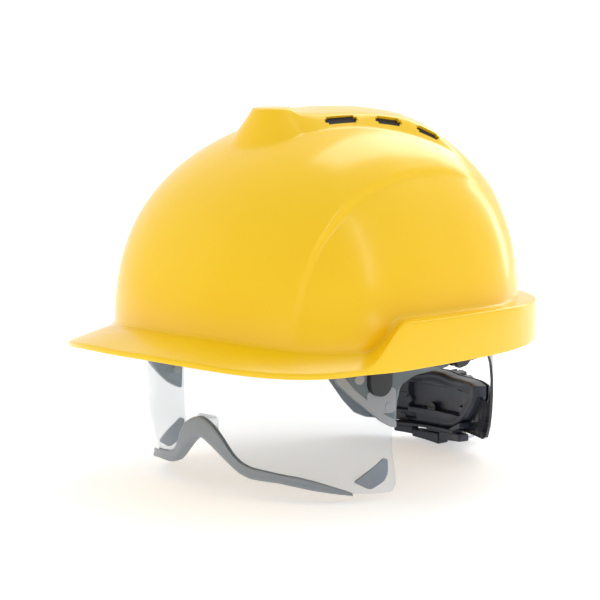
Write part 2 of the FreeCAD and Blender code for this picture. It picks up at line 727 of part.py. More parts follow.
def build_pinion():
    """The toothed wheel between the two racks, with a hub that the knob sits on."""
    body = body_on_nape_axis("drive_pinion", size("pinion_front"))
    disc = flat_sketch(body, "pinion_disc")
    add_circle(disc, "Sizes.pinion_root")
    pad(body, "pinion_core", disc, "Sizes.pinion_long")
    hub = flat_sketch(body, "hub_disc")
    add_circle(hub, "Sizes.hub_radius")
    pad(body, "hub", hub, "Sizes.hub_long")
    root, tip = size("pinion_root") - 0.3, size("pinion_tip")
    tooth = flat_sketch(body, "tooth_shape")
    add_polygon(tooth, [(-0.85, root), (0.85, root), (0.45, tip), (-0.45, tip)])
    first = pad(body, "tooth", tooth, "Sizes.pinion_long")
    doc.recompute()
    around_axis(body, "teeth", first, "Sizes.pinion_teeth")
    doc.recompute()
    bore = flat_sketch(body, "bore_disc")
    add_circle(bore, "Sizes.screw_radius + Sizes.running_gap")
    body.Tip = pocket(body, "bore", bore, "Sizes.hub_long")


def build_knob():
    """The round knob behind the nape, fluted for the fingers and dished on its face."""
    body = body_on_nape_axis("ratchet_knob", size("knob_front"))
    disc = flat_sketch(body, "knob_disc")
    add_circle(disc, "Sizes.knob_radius")
    pad(body, "knob_blank", disc, "Sizes.knob_thick")
    doc.recompute()
    dish = flat_sketch(body, "dish_disc", "Sizes.knob_thick - 2.5")
    add_circle(dish, "Sizes.knob_radius - 5")
    pocket(body, "dish", dish, "2.5")
    socket = flat_sketch(body, "socket_disc")
    add_circle(socket, "Sizes.hub_radius + 0.02")
    pocket(body, "socket", socket, "3.2")
    radius = size("knob_radius")
    flute = flat_sketch(body, "flute_shape", "2")
    add_polygon(flute, [(-2.2, radius + 1), (-1.2, radius - 1.4), (1.2, radius - 1.4), (2.2, radius + 1)])
    cut = pocket(body, "flute", flute, "Sizes.knob_thick")
    doc.recompute()
    around_axis(body, "flutes", cut, "16")


feature("shell", build_shell())
feature("vent_screen", build_vent_screen())
feature("headband", build_headband())
feature("sweatband", build_sweatband())
feature("left_crown_strap", build_strap(-1, 0))
feature("right_crown_strap", build_strap(1, 1.9))
build_strap_patch()
for key_name in KEYS:
    feature(key_name, build_key(key_name))
lens_shape = build_lens()
feature("lens", lens_shape)
feature("lens_trim", build_trim(lens_shape))
feature("nose_bridge", build_nose_bridge())
feature("corner_pads", build_corner_pads())
feature("arm_rivets", build_rivets())
for hand, side in (("left", 1), ("right", -1)):
    feature(f"{hand}_lens_arm", build_lens_arm(side))
    feature(f"{hand}_lens_tab", build_tab(side))
    feature(f"{hand}_rack_arm", build_rack_arm(side))
    build_side_pin(hand, side)
    build_bush(hand, side)
feature("nape_housing", build_nape_housing())
feature("nape_cover", build_nape_cover())
feature("housing_screws", build_housing_screws())
build_click_ring()
build_axle_screw()
build_pinion()
build_knob()
doc.recompute()

for obj in doc.Objects:
    if "Invalid" in obj.State or "Error" in obj.State:
        raise RuntimeError(f"{obj.Name} did not compute: {obj.State}")
for obj in made:
    if obj.Shape.isNull() or not obj.Shape.isValid():
        raise RuntimeError(f"{obj.Label} has no valid shape")

os.makedirs("parts", exist_ok=True)
for obj in made:
    box_ = obj.Shape.BoundBox
    print(obj.Label, len(obj.Shape.Solids), round(obj.Shape.Volume),
          [round(v, 1) for v in (box_.XMin, box_.XMax, box_.YMin, box_.YMax, box_.ZMin, box_.ZMax)])
    obj.Shape.exportStep(f"parts/{obj.Label}.step")
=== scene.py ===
"""Looks of a yellow hard hat with a swing-down eye shield and a ratchet headband.

Shapes are worked out in millimetres about the middle of the shell's rim plane, and placed from the frame.
"""
import json
import math

import bmesh
import bpy
import numpy as np
from mathutils import Matrix, Vector


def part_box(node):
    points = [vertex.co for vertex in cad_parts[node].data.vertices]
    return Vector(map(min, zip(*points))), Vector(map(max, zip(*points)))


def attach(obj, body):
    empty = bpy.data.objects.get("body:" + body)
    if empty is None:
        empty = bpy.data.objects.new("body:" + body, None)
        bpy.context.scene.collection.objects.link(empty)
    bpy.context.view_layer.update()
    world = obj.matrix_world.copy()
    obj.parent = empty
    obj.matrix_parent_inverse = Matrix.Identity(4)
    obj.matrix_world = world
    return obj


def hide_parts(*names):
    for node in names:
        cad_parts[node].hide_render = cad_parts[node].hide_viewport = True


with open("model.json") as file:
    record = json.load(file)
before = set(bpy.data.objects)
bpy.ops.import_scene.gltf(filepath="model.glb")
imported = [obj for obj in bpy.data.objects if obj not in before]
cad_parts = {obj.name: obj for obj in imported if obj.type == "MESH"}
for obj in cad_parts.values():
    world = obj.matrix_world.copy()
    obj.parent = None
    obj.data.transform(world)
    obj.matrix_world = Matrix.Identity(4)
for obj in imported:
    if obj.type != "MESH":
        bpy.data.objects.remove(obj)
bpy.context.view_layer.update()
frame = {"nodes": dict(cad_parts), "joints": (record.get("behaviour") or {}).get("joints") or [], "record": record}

MM = 0.001
PIVOT_Y, PIVOT_Z = 5.0, -4.0
hinge = next(j for j in frame["joints"] if j["name"] == "visor_hinge")
RIM = np.array(hinge["pos_m"], float) - np.array([0, PIVOT_Y, PIVOT_Z]) * MM


# ------------------------------------------------------------------ camera, floor and light

def aim(obj, place, target):
    obj.location = place
    obj.rotation_euler = (Vector(target) - Vector(place)).to_track_quat("-Z", "Y").to_euler()


CAMERA_AZIMUTH, CAMERA_ELEVATION, CAMERA_DISTANCE = 44, 9, 1.3
CAMERA_LENS, CAMERA_SHIFT = 136.2, (-0.0467, 0.0483)


def make_camera():
    azimuth, elevation = math.radians(CAMERA_AZIMUTH), math.radians(CAMERA_ELEVATION)
    back = Vector((math.sin(azimuth) * math.cos(elevation), -math.cos(azimuth) * math.cos(elevation),
                   math.sin(elevation)))
    camera = bpy.data.objects.new("camera", bpy.data.cameras.new("camera"))
    bpy.context.collection.objects.link(camera)
    centre = Vector(RIM)
    aim(camera, centre + back * CAMERA_DISTANCE, centre)
    camera.data.lens = CAMERA_LENS
    camera.data.sensor_width = 36
    camera.data.shift_x, camera.data.shift_y = CAMERA_SHIFT
    camera.data.clip_end = 50
    bpy.context.scene.camera = camera


def area_light(name, place, size, power, in_gloss=True):
    data = bpy.data.lights.new(name, "AREA")
    data.shape = "RECTANGLE"
    data.size, data.size_y = size
    data.energy = power
    light = bpy.data.objects.new(name, data)
    bpy.context.collection.objects.link(light)
    aim(light, place, LIT_POINT)
    light.visible_glossy = in_gloss


LIT_POINT = (0, 0.02, 0.13)
FLOOR_REACH, FLOOR_GLOW = 60, 0.46


def make_stage():
    mesh = bpy.data.meshes.new("floor")
    floor = bpy.data.objects.new("floor", mesh)
    bpy.context.collection.objects.link(floor)
    build = bmesh.new()
    bmesh.ops.create_grid(build, x_segments=1, y_segments=1, size=FLOOR_REACH)
    build.to_mesh(mesh)
    build.free()
    paper = bpy.data.materials.new("paper")
    paper.use_nodes = True
    shader = paper.node_tree.nodes["Principled BSDF"]
    shader.inputs["Base Color"].default_value = (0.80, 0.80, 0.80, 1)
    shader.inputs["Roughness"].default_value = 0.9
    shader.inputs["Specular IOR Level"].default_value = 0.1
    shader.inputs["Emission Color"].default_value = (1, 1, 1, 1)
    shader.inputs["Emission Strength"].default_value = FLOOR_GLOW
    mesh.materials.append(paper)
    make_sky()
    bpy.context.scene.view_settings.view_transform = "Standard"
    area_light("key", (-0.9, -1.3, 0.9), (1.4, 1.4), 4.5, in_gloss=False)
    area_light("overhead", (-0.25, 1.0, 1.25), (0.5, 1.6), 8.0)
    area_light("rear_strip", (0.12, 1.5, 0.45), (0.16, 0.8), 2.4)
    area_light("side_strip", (1.29, 0.16, 0.88), (0.12, 1.1), 1.4)


def make_sky():
    """A white studio, a little dimmer on the side the camera stands on."""
    world = bpy.data.worlds.new("studio")
    world.use_nodes = True
    tree = world.node_tree
    sky = tree.nodes["Background"]
    sky.inputs["Strength"].default_value = 1.0
    source = tree.nodes.new("ShaderNodeTexCoord")
    along = tree.nodes.new("ShaderNodeVectorMath")
    along.operation = "DOT_PRODUCT"
    along.inputs[1].default_value = (-0.69, 0.72, 0.05)
    tree.links.new(source.outputs["Generated"], along.inputs[0])
    tree.links.new(mix_colours(tree, spread(tree, along.outputs["Value"], 0, 1, -0.6, 0.75),
                               (0.62, 0.62, 0.63), (1.03, 1.03, 1.03)), sky.inputs["Color"])
    bpy.context.scene.world = world


# ------------------------------------------------------------------ mesh helpers

def make_object(name, points, faces):
    """A mesh object from points in millimetres about the rim's middle."""
    mesh = bpy.data.meshes.new(name)
    world = np.asarray(points, float) * MM + RIM
    mesh.from_pydata(world.tolist(), [], [tuple(int(i) for i in f) for f in faces])
    mesh.validate()
    mesh.polygons.foreach_set("use_smooth", [True] * len(mesh.polygons))
    obj = bpy.data.objects.new(name, mesh)
    bpy.context.collection.objects.link(obj)
    return obj


def grid_faces(rows, columns, wrap_columns=False, wrap_rows=False, first=0):
    """Quads of a grid of points stored row by row."""
    faces = []
    for r in range(rows if wrap_rows else rows - 1):
        a, b = r * columns, ((r + 1) % rows) * columns
        for c in range(columns if wrap_columns else columns - 1):
            d = (c + 1) % columns
            faces.append((first + a + c, first + a + d, first + b + d, first + b + c))
    return faces


def closed_loop(name, rows, flip=False):
    """A solid from rows of points that run round its section, with both ends capped."""
    count, columns = len(rows), len(rows[0])
    faces = grid_faces(count, columns, wrap_rows=True)
    faces.append([r * columns for r in range(count)])
    faces.append([r * columns + columns - 1 for r in range(count)][::-1])
    if flip:
        faces = [face[::-1] for face in faces]
    return make_object(name, np.array(rows).reshape(-1, 3), faces)


def face_outwards(obj):
    build = bmesh.new()
    build.from_mesh(obj.data)
    bmesh.ops.recalc_face_normals(build, faces=list(build.faces))
    build.to_mesh(obj.data)
    build.free()


def select_only(objects):
    for other in bpy.context.selected_objects:
        other.select_set(False)
    for obj in objects:
        obj.select_set(True)
    bpy.context.view_layer.objects.active = objects[0]


def apply_modifier(obj, kind, **settings):
    modifier = obj.modifiers.new(kind.lower(), kind)
    for key, value in settings.items():
        setattr(modifier, key, value)
    select_only([obj])
    bpy.ops.object.modifier_apply(modifier=modifier.name)


def smooth_by_angle(obj, degrees):
    """Smooth shading with the edges sharper than the angle kept crisp."""
    mesh = obj.data
    mesh.polygons.foreach_set("use_smooth", [True] * len(mesh.polygons))
    build = bmesh.new()
    build.from_mesh(mesh)
    limit = math.radians(degrees)
    for edge in build.edges:
        edge.smooth = len(edge.link_faces) != 2 or edge.calc_face_angle(0) < limit
    build.to_mesh(mesh)
    build.free()


def step(value, low, high):
    """0 below low, 1 above high, smooth between."""
    share = np.clip((np.asarray(value, float) - low) / (high - low), 0, 1)
    return share * share * (3 - 2 * share)


def soft_max(a, b, width):
    """The larger of two heights, with the corner between them rounded."""
    share = np.clip(0.5 + 0.5 * (a - b) / width, 0, 1)
    return b + (a - b) * share + width * share * (1 - share)


def ramp(knots, values, samples=400, reach=20):
    """A smooth line through a few (place, height) knots; reach is how many samples each way it averages."""
    xs, ys = np.array(knots, float).T
    fine = np.linspace(xs[0], xs[-1], samples)
    kernel = np.hanning(2 * reach + 1)
    padded = np.pad(np.interp(fine, xs, ys), reach, mode="reflect", reflect_type="odd")
    return np.interp(values, fine, np.convolve(padded, kernel / kernel.sum(), mode="valid"))


# ------------------------------------------------------------------ materials

def new_material(name):
    material = bpy.data.materials.new(name)
    material.use_nodes = True
    return material, material.node_tree, material.node_tree.nodes["Principled BSDF"]


def node(tree, kind, **inputs):
    made = tree.nodes.new(kind)
    for key, value in inputs.items():
        made.inputs[key.replace("_", " ")].default_value = value
    return made


def object_place(tree, scale=(1, 1, 1)):
    """Object coordinates, which are the frame's own metres."""
    source = tree.nodes.new("ShaderNodeTexCoord")
    mapping = tree.nodes.new("ShaderNodeMapping")
    mapping.inputs["Scale"].default_value = scale
    tree.links.new(source.outputs["Object"], mapping.inputs["Vector"])
    return mapping.outputs["Vector"]


def noise_field(tree, scale, detail=3.0, stretch=(1, 1, 1)):
    field = node(tree, "ShaderNodeTexNoise", Scale=scale, Detail=detail)
    tree.links.new(object_place(tree, stretch), field.inputs["Vector"])
    return field.outputs["Fac"]


def spread(tree, source, low, high, from_low=0.3, from_high=0.7):
    """A field brought into a range."""
    made = tree.nodes.new("ShaderNodeMapRange")
    made.inputs["From Min"].default_value = from_low
    made.inputs["From Max"].default_value = from_high
    made.inputs["To Min"].default_value = low
    made.inputs["To Max"].default_value = high
    tree.links.new(source, made.inputs["Value"])
    return made.outputs["Result"]


def mix_colours(tree, factor, first, second):
    made = tree.nodes.new("ShaderNodeMix")
    made.data_type = "RGBA"
    made.inputs["A"].default_value = (*first, 1)
    made.inputs["B"].default_value = (*second, 1)
    tree.links.new(factor, made.inputs["Factor"])
    return made.outputs["Result"]


def bump(tree, shader, height, strength, distance):
    made = tree.nodes.new("ShaderNodeBump")
    made.inputs["Strength"].default_value = strength
    made.inputs["Distance"].default_value = distance
    tree.links.new(height, made.inputs["Height"])
    tree.links.new(made.outputs["Normal"], shader.inputs["Normal"])


def moulded(name, first, second, rough, grain, depth, coat=0.0):
    """Moulded plastic: two close colours, a fine grain and uneven gloss."""
    material, tree, shader = new_material(name)
    cloud = noise_field(tree, 14, 4)
    tree.links.new(mix_colours(tree, spread(tree, cloud, 0, 1), first, second), shader.inputs["Base Color"])
    tree.links.new(spread(tree, noise_field(tree, 55, 3), rough[0], rough[1]), shader.inputs["Roughness"])
    bump(tree, shader, noise_field(tree, grain, 2), 0.35, depth)
    shader.inputs["Coat Weight"].default_value = coat
    shader.inputs["Coat Roughness"].default_value = 0.08
    return material


def shell_yellow():
    material = moulded("shell_yellow", (0.98, 0.600, 0.006), (0.99, 0.625, 0.008), (0.20, 0.27), 900, 0.00003,
                       0.12)
    shader = material.node_tree.nodes["Principled BSDF"]
    shader.inputs["Subsurface Weight"].default_value = 0.08
    shader.inputs["Subsurface Radius"].default_value = (0.004, 0.003, 0.0005)
    shader.inputs["Specular IOR Level"].default_value = 0.42
    return material


def clear_plastic(name, colour, rough, fade, **sockets):
    """Clear or smoked plastic: a slightly cloudy cast, and a gloss that is nearly even."""
    material, tree, shader = new_material(name)
    cloud = noise_field(tree, 22, 2)
    second = tuple(c * fade for c in colour)
    tree.links.new(mix_colours(tree, spread(tree, cloud, 0, 1), colour, second), shader.inputs["Base Color"])
    tree.links.new(spread(tree, noise_field(tree, 90, 3), rough, rough + 0.03), shader.inputs["Roughness"])
    for socket, value in sockets.items():
        shader.inputs[socket.replace("_", " ")].default_value = value
    return material


def woven(name, warp, weft, pitch):
    """Webbing and cloth: crossing threads, with a sheen."""
    material, tree, shader = new_material(name)
    place = object_place(tree)
    bands = []
    for direction in ("X", "Y"):
        wave = node(tree, "ShaderNodeTexWave", Scale=pitch, Distortion=0.6, Detail=1.0)
        wave.bands_direction = direction
        tree.links.new(place, wave.inputs["Vector"])
        bands.append(wave.outputs["Fac"])
    weave = tree.nodes.new("ShaderNodeMath")
    weave.operation = "MULTIPLY"
    tree.links.new(bands[0], weave.inputs[0])
    tree.links.new(bands[1], weave.inputs[1])
    tree.links.new(mix_colours(tree, weave.outputs[0], warp, weft), shader.inputs["Base Color"])
    shader.inputs["Roughness"].default_value = 0.85
    shader.inputs["Sheen Weight"].default_value = 0.3
    bump(tree, shader, weave.outputs[0], 0.6, 0.0003)
    return material


def metal(name):
    material, tree, shader = new_material(name)
    shader.inputs["Metallic"].default_value = 1.0
    lines = noise_field(tree, 300, 3, (1, 8, 1))
    colour = mix_colours(tree, lines, (0.45, 0.46, 0.48), (0.7, 0.71, 0.73))
    tree.links.new(colour, shader.inputs["Base Color"])
    tree.links.new(spread(tree, lines, 0.22, 0.4), shader.inputs["Roughness"])
    bump(tree, shader, lines, 0.2, 0.00005)
    return material


# ------------------------------------------------------------------ shell

HALF, FRONT, REAR, CROWN, WALL = 102.0, 127.0, 107.5, 124.0, 3.0
BRIM_HALF, BRIM_FRONT, BRIM_REAR = 111.5, 160.0, 116.0
OVAL, BRIM_OVAL = 2.28, 2.3
TURNS = 480
PANEL_EDGE, PANEL_DEEP = 70.5, 2.2
CREST_LINE = [(-46, 126.8), (-36, 126.2), (-20, 126.6), (0, 127.2), (20, 126.6), (40, 124.0), (60, 116.5),
              (72, 108.0), (82, 97.5), (94, 80.0)]
CREST_FOOT = [(-43, 23.5), (-36, 28.0), (-18, 34.5), (0, 40.8), (11, 45.0), (26, 51.5), (44, 59.0),
              (60, 64.0), (94, 70.0)]
VENTS = [(-19.5, 20.0), (8.0, 16.5), (30.5, 15.5)]
VENT_IN, VENT_WIDE, VENT_DEEP, VENT_ROUND = 4.9, 6.0, 18, 1.5
# how far behind each vent sits the dark plate that paints the shade seen through the slot
SHADE_PLATE_BEHIND = 2.4
CREST_START, CREST_NOSE_REACH, CREST_BEND = -43, 23.5, 0.10


def profile(share, first, second):
    return np.clip(1 - share ** first, 0, 1) ** (1 / second)


def dome_reach(z, inset=0.0):
    """Half width, front reach and rear reach of the crown at a height."""
    share = np.clip(z, 0, None) / (CROWN - inset)
    share = np.clip(share, 0, 1)
    return ((HALF - inset) * profile(share, 2.56, 2.07), (FRONT - inset) * profile(share, 2.73, 1.72),
            (REAR - inset) * profile(share, 3.02, 2.39))


def oval_point(turn, half, front, rear, exponent):
    side, fore = np.sin(turn), np.cos(turn)
    reach = np.where(fore > 0, front, rear)
    x = half * np.sign(side) * np.abs(side) ** (2 / exponent)
    y = -reach * np.sign(fore) * np.abs(fore) ** (2 / exponent)
    return x, y


def crest_top(x, y):
    """Height of the crest's top: a crowned ridge with the flat round nose in front."""
    wide = np.abs(x)
    ridge = ramp(CREST_LINE, y) - (0.0026 + 0.0046 * step(y, 5, 70)) * wide ** 2
    nose = 128.6 - 0.55 * np.clip(np.hypot(wide, y + 45) - 10.4, 0, None)
    return soft_max(ridge, nose, 1.2)


def crest_share(x, y):
    """0 outside the crest's foot, 1 on its top, rising over the flank between."""
    wide = np.abs(x)
    behind = ramp(CREST_FOOT, np.clip(y, CREST_START, None)) - wide
    inside = np.where(y < CREST_START, CREST_NOSE_REACH - np.hypot(wide, y - CREST_START), behind)
    flank = 12.0 - 3.5 * step(y, -42, -15) + 3.0 * step(y, 25, 70)
    run = inside / flank

    def bend(t):
        return 0.5 * (t + np.sqrt(t * t + CREST_BEND * CREST_BEND))
    return np.clip(bend(run) - bend(run - 1), 0, 1)


def with_crest(x, y, z, drop=0.0):
    rise = np.clip(crest_top(x, y) - drop - z, 0, None)
    return z + rise * crest_share(x, y) * step(z, 72, 80)


def shell_surface(x, y, z, nx, ny, nz):
    """Adds the side panels' edge and the crest to points of the plain crown."""
    wide = np.abs(x)
    edge = PANEL_EDGE + 1.5 * step(z, 20, 80)
    panel = step(wide, edge - 1.2, edge + 2.6) * (1 - step(y, -10, 60)) * step(z, 8, 30)
    inward = -PANEL_DEEP * panel
    x, y, z = x + nx * inward, y + ny * inward, z + nz * inward
    return x, y, with_crest(x, y, z)


def rim_levels(turn):
    fold = np.minimum(turn, 2 * np.pi - turn)
    gutter = step(fold, math.radians(62), math.radians(74))
    front = 1 - step(fold, math.radians(5), math.radians(60))
    low = -6.0 + 10.0 * front + 3.0 * np.sin(np.minimum(fold, np.pi / 2)) ** 6 - 1.0 * gutter
    base = 5.0 + 8.0 * front + gutter * (16.0 - 4.0 * step(fold, math.radians(80), math.radians(170)))
    return low, base, gutter


def rounded(corners, radii, steps=4):
    """A polyline in (out, up), given as arrays per turn, with its corners rounded."""
    path = [corners[0]]
    for k in range(1, len(corners) - 1):
        here = np.stack(corners[k])
        back = np.stack(corners[k - 1]) - here
        ahead = np.stack(corners[k + 1]) - here
        back_long = np.hypot(*back)
        ahead_long = np.hypot(*ahead)
        reach = np.minimum(radii[k - 1], 0.42 * np.minimum(back_long, ahead_long))
        start = here + back / back_long * reach
        end = here + ahead / ahead_long * reach
        for s in np.linspace(0, 1, steps):
            point = start * (1 - s) ** 2 + here * 2 * s * (1 - s) + end * s ** 2
            path.append((point[0], point[1]))
    path.append(corners[-1])
    return path


def make_shell():
    turn = 2 * np.pi * np.arange(TURNS) / TURNS
    low, base, gutter = rim_levels(turn)
    rows = []
    rings, inner_rings, bunching = 150, 90, 1.8
    for i in range(1, rings + 1):
        z = CROWN - (CROWN - base - 2.5) * (i / rings) ** bunching
        x, y = oval_point(turn, *dome_reach(z), OVAL)
        rows.append(np.stack([x, y, z]))
    outer = np.array(rows)
    along = np.gradient(outer, axis=0)
    around = np.roll(outer, -1, axis=2) - np.roll(outer, 1, axis=2)
    normal = np.cross(along.transpose(0, 2, 1), around.transpose(0, 2, 1)).transpose(0, 2, 1)
    normal /= np.linalg.norm(normal, axis=1, keepdims=True) + 1e-9
    if normal[rings // 2, 0, TURNS // 4] < 0:
        normal = -normal
    columns = [part[:, axis] for part in (outer, normal) for axis in range(3)]
    rows = list(np.stack(shell_surface(*columns), axis=1))

    last = rows[-1]
    edge_x, edge_y = oval_point(turn, BRIM_HALF, BRIM_FRONT, BRIM_REAR, BRIM_OVAL)
    base_x, base_y = oval_point(turn, *dome_reach(base), OVAL)
    out = np.stack([edge_x - base_x, edge_y - base_y])
    width = np.hypot(*out)
    out = out / width
    zero = np.zeros(TURNS)
    tall = 3.0 + gutter * (base - low - 3.0)
    start = (np.stack([last[0] - base_x, last[1] - base_y]) * out).sum(axis=0)
    inner_x, inner_y = oval_point(turn, *dome_reach(base - 3, WALL), OVAL)
    inner = (np.stack([inner_x - base_x, inner_y - base_y]) * out).sum(axis=0)
    corners = [(start, last[2]), (zero, base), (width, low + tall), (width, low),
               (width - 3, low), (width - 3, low + np.maximum(tall - 2.6, 0.4)), (inner + 3.2, base - 2.7),
               (inner, base - 4.5)]
    radii = [2.6 - 1.2 * gutter, 1.1, 0.9, 0.9, 0.6, 1.5]
    for r, level in rounded(corners, radii)[1:]:
        rows.append(np.stack([base_x + out[0] * r, base_y + out[1] * r, level]))
    for i in range(inner_rings):
        share = 1 - i / inner_rings
        z = (CROWN - WALL) - (CROWN - WALL - base + 4.5) * share ** bunching
        x, y = oval_point(turn, *dome_reach(z, WALL), OVAL)
        rows.append(np.stack([x, y, with_crest(x, y, z, WALL)]))
    rows = np.array(rows).transpose(0, 2, 1)
    count = len(rows)
    top = [0, 0, float(crest_top(np.array(0.0), np.array(0.0)))]
    points = np.concatenate([rows.reshape(-1, 3), [top, [0, 0, top[2] - WALL]]])
    faces = grid_faces(count, TURNS, wrap_columns=True)
    peak = count * TURNS
    for c in range(TURNS):
        after = (c + 1) % TURNS
        faces.append((peak, after, c))
        faces.append((peak + 1, (count - 1) * TURNS + c, (count - 1) * TURNS + after))
    shell = make_object("shell_skin", points, [f[::-1] for f in faces])
    cut_vents(shell)
    return shell


def plain_height(x, y):
    """Height of the plain crown above a point of the rim plane."""
    low, high = 60.0, CROWN
    for _ in range(40):
        middle = (low + high) / 2
        half, front, rear = dome_reach(middle)
        reach = front if y < 0 else rear
        if (abs(x) / half) ** OVAL + (abs(y) / reach) ** OVAL < 1:
            low = middle
        else:
            high = middle
    return low


def vent_frame(y, side):
    """A vent's middle on the crest's flank, and its axes: its run, the way across it and the way out."""
    def flank_point(at):
        x = float(ramp(CREST_FOOT, at)) - VENT_IN
        plain = plain_height(x, at)
        return np.array([side * x, at, float(with_crest(np.array(x), np.array(at), plain))])
    middle = flank_point(y)
    run = flank_point(y + 4) - flank_point(y - 4)
    run /= np.linalg.norm(run)
    slope = np.array([side * 0.72, 0.0, 0.69])
    out = slope - run * slope.dot(run)
    out /= np.linalg.norm(out)
    return middle, np.stack([run, np.cross(out, run), out], axis=1)


def cut_vents(shell):
    """Six slots with rounded ends through the crest's flanks."""
    build = bmesh.new()
    for y, length in VENTS:
        for side in (1, -1):
            middle, axes = vent_frame(y, side)
            pose = Matrix.Translation(Vector(middle)) @ Matrix(axes.tolist()).to_4x4()
            size = Matrix.Diagonal((length, VENT_WIDE, VENT_DEEP, 1))
            made = bmesh.ops.create_cube(build, size=1.0, matrix=pose @ size)
            edges = {e for v in made["verts"] for e in v.link_edges
                     if abs((e.verts[0].co - e.verts[1].co).normalized().dot(Vector(axes[:, 2]))) > 0.9}
            bmesh.ops.bevel(build, geom=list(edges), offset=VENT_ROUND, segments=4, affect="EDGES")
    bmesh.ops.recalc_face_normals(build, faces=build.faces)
    mesh = bpy.data.meshes.new("vent_cutters")
    for vert in build.verts:
        vert.co = Vector(np.array(vert.co) * MM + RIM)
    build.to_mesh(mesh)
    build.free()
    cutter = bpy.data.objects.new("vent_cutters", mesh)
    bpy.context.collection.objects.link(cutter)
    apply_modifier(shell, "BOOLEAN", operation="DIFFERENCE", object=cutter, solver="EXACT")
    bpy.data.objects.remove(cutter)
    smooth_by_angle(shell, 38)


def make_vent_shade_plates():
    """Painted shade: dark plates close behind the vents, so the slots read as the shadowed hollow inside the
    crest.
    """
    plates = []
    for y, length in VENTS:
        for side in (1, -1):
            middle, axes = vent_frame(y, side)
            plate = rounded_box("plate", (0, 0, 0), (length + 2.0, VENT_WIDE + 2.0, 1.0), 0.3, 2)
            for vert in plate.data.vertices:
                local = (np.array(vert.co) - RIM) / MM
                vert.co = Vector((axes @ local + middle - axes[:, 2] * SHADE_PLATE_BEHIND) * MM + RIM)
            plates.append(plate)
    return joined("vent_shade_backing", plates)


# ------------------------------------------------------------------ eye shield

LENS_HALF, LENS_FRONT, LENS_REAR, LENS_THICK, LENS_OVAL = 84.0, 101.0, 37.0, 2.2, 2.4
LENS_LEAN = 0.08
TRIM_END, TRIM_GRIP = -60.5, 1.3
LENS_EDGE = [(0, -46.0), (7.7, -50.5), (13, -54.6), (20.4, -60), (26.5, -64), (34, -66.4), (43, -66.8),
             (52, -67.2), (62, -69), (74, -72), (84, -75.5)]
TRIM_SECTION = [(0.10, 1.00), (0.45, 0.97), (0.75, 0.80), (0.85, 0.55), (1.35, 0.38), (1.45, 0.20),
                (1.1, 0.05), (0.2, -0.02), (-1.5, -0.04), (-3.2, 0.0), (-4.3, 0.10), (-4.6, 0.3), (-4.1, 0.55),
                (-3.4, 0.8), (-3.0, 0.95), (-2.5, 1.0), (-2.28, 0.9), (-2.28, 0.3), (0.06, 0.3), (0.06, 0.9)]
TRIM_TOP = [(0, -36.2), (5.6, -37.8), (12, -41.6), (17.2, -47.3), (21.7, -54), (26.7, -58.6), (34, -61.4),
            (43, -62.4), (62, -65.0), (74, -68.5), (84, -73)]


def lens_plan(turn, inset=0.0):
    """The shield's plan: an oval's front half about its own middle. turn is 0 in front."""
    depth = LENS_FRONT - LENS_REAR
    x, y = oval_point(turn, LENS_HALF - inset, depth - inset, depth - inset, LENS_OVAL)
    return x, y - LENS_REAR


def even_turns(count, limit=90.0):
    return np.radians(limit) * np.linspace(-1, 1, count)


def line_height(line, x):
    """A smooth height over the shield's width, the same on both sides."""
    mirrored = [(-a, b) for a, b in reversed(line[1:])] + list(line)
    return ramp(mirrored, x, samples=1200, reach=30)


def lens_columns(count=321):
    """Turns round the shield's plan, with the bottom of each column, rounded at the rear corners."""
    turn = even_turns(count)
    x, y = lens_plan(turn)
    low = line_height(LENS_EDGE, x)
    corner = np.clip((-41.0 - y) / 4.0, -1, 0)
    low = low + 4.0 * (1 - np.sqrt(np.clip(1 - corner ** 2, 0, 1)))
    return turn, low


def make_lens():
    turn, low = lens_columns()
    rows = 26
    points = []
    for inset in (0.0, LENS_THICK):
        px, py = lens_plan(turn, inset)
        for r in range(rows):
            z = 2 + (low - 2) * r / (rows - 1)
            flare = 3.0 * step(-z, 50, 70) * step(py, -44, -37)
            points.append(np.stack([px, py + flare, z], axis=1))
    columns = len(turn)
    faces = grid_faces(rows, columns) + [f[::-1] for f in grid_faces(rows, columns, first=rows * columns)]
    inner = rows * columns
    for c in range(columns - 1):
        faces.append((c + 1, c, inner + c, inner + c + 1))
        a = (rows - 1) * columns + c
        faces.append((a, a + 1, inner + a + 1, inner + a))
    for r in range(rows - 1):
        a, b = r * columns, (r + 1) * columns
        faces.append((a, b, inner + b, inner + a))
        a, b = a + columns - 1, b + columns - 1
        faces.append((b, a, inner + a, inner + b))
    lens = make_object("lens_sheet", np.array(points).reshape(-1, 3), faces)
    smooth_by_angle(lens, 40)
    return lens


def lean_in(obj):
    """Curves the shield's lower front inwards, and whatever rides on it."""
    for vert in obj.data.vertices:
        x, y, z = (np.array(vert.co) - RIM) / MM
        down = step(-z, 40.0, 70.0)
        front = step(-y, LENS_REAR, LENS_REAR + 32.0)
        shrink = 1 - LENS_LEAN * down * front
        vert.co = Vector(np.array([x * shrink, -LENS_REAR + (y + LENS_REAR) * shrink, z]) * MM + RIM)
    return obj


def make_trim():
    """The soft edge: a rounded channel that grips the lens's lower edge, with a thin lip inside."""
    turn = even_turns(401, 88.0)
    x, y = lens_plan(turn)
    keep = y < TRIM_END
    turn, x, y = turn[keep], x[keep], y[keep]
    high = line_height(TRIM_TOP, x)
    low = line_height(LENS_EDGE, x) - TRIM_GRIP
    taper = np.clip((-58.0 - y) / 22.0, 0, 1) ** 0.5
    high = low + (high - low) * taper
    rows = []
    for out, up in TRIM_SECTION:
        px, py = lens_plan(turn, -out)
        rows.append(np.stack([px, py, low + (high - low) * up], axis=1))
    trim = closed_loop("trim_channel", rows, flip=True)
    smooth_by_angle(trim, 50)
    return trim


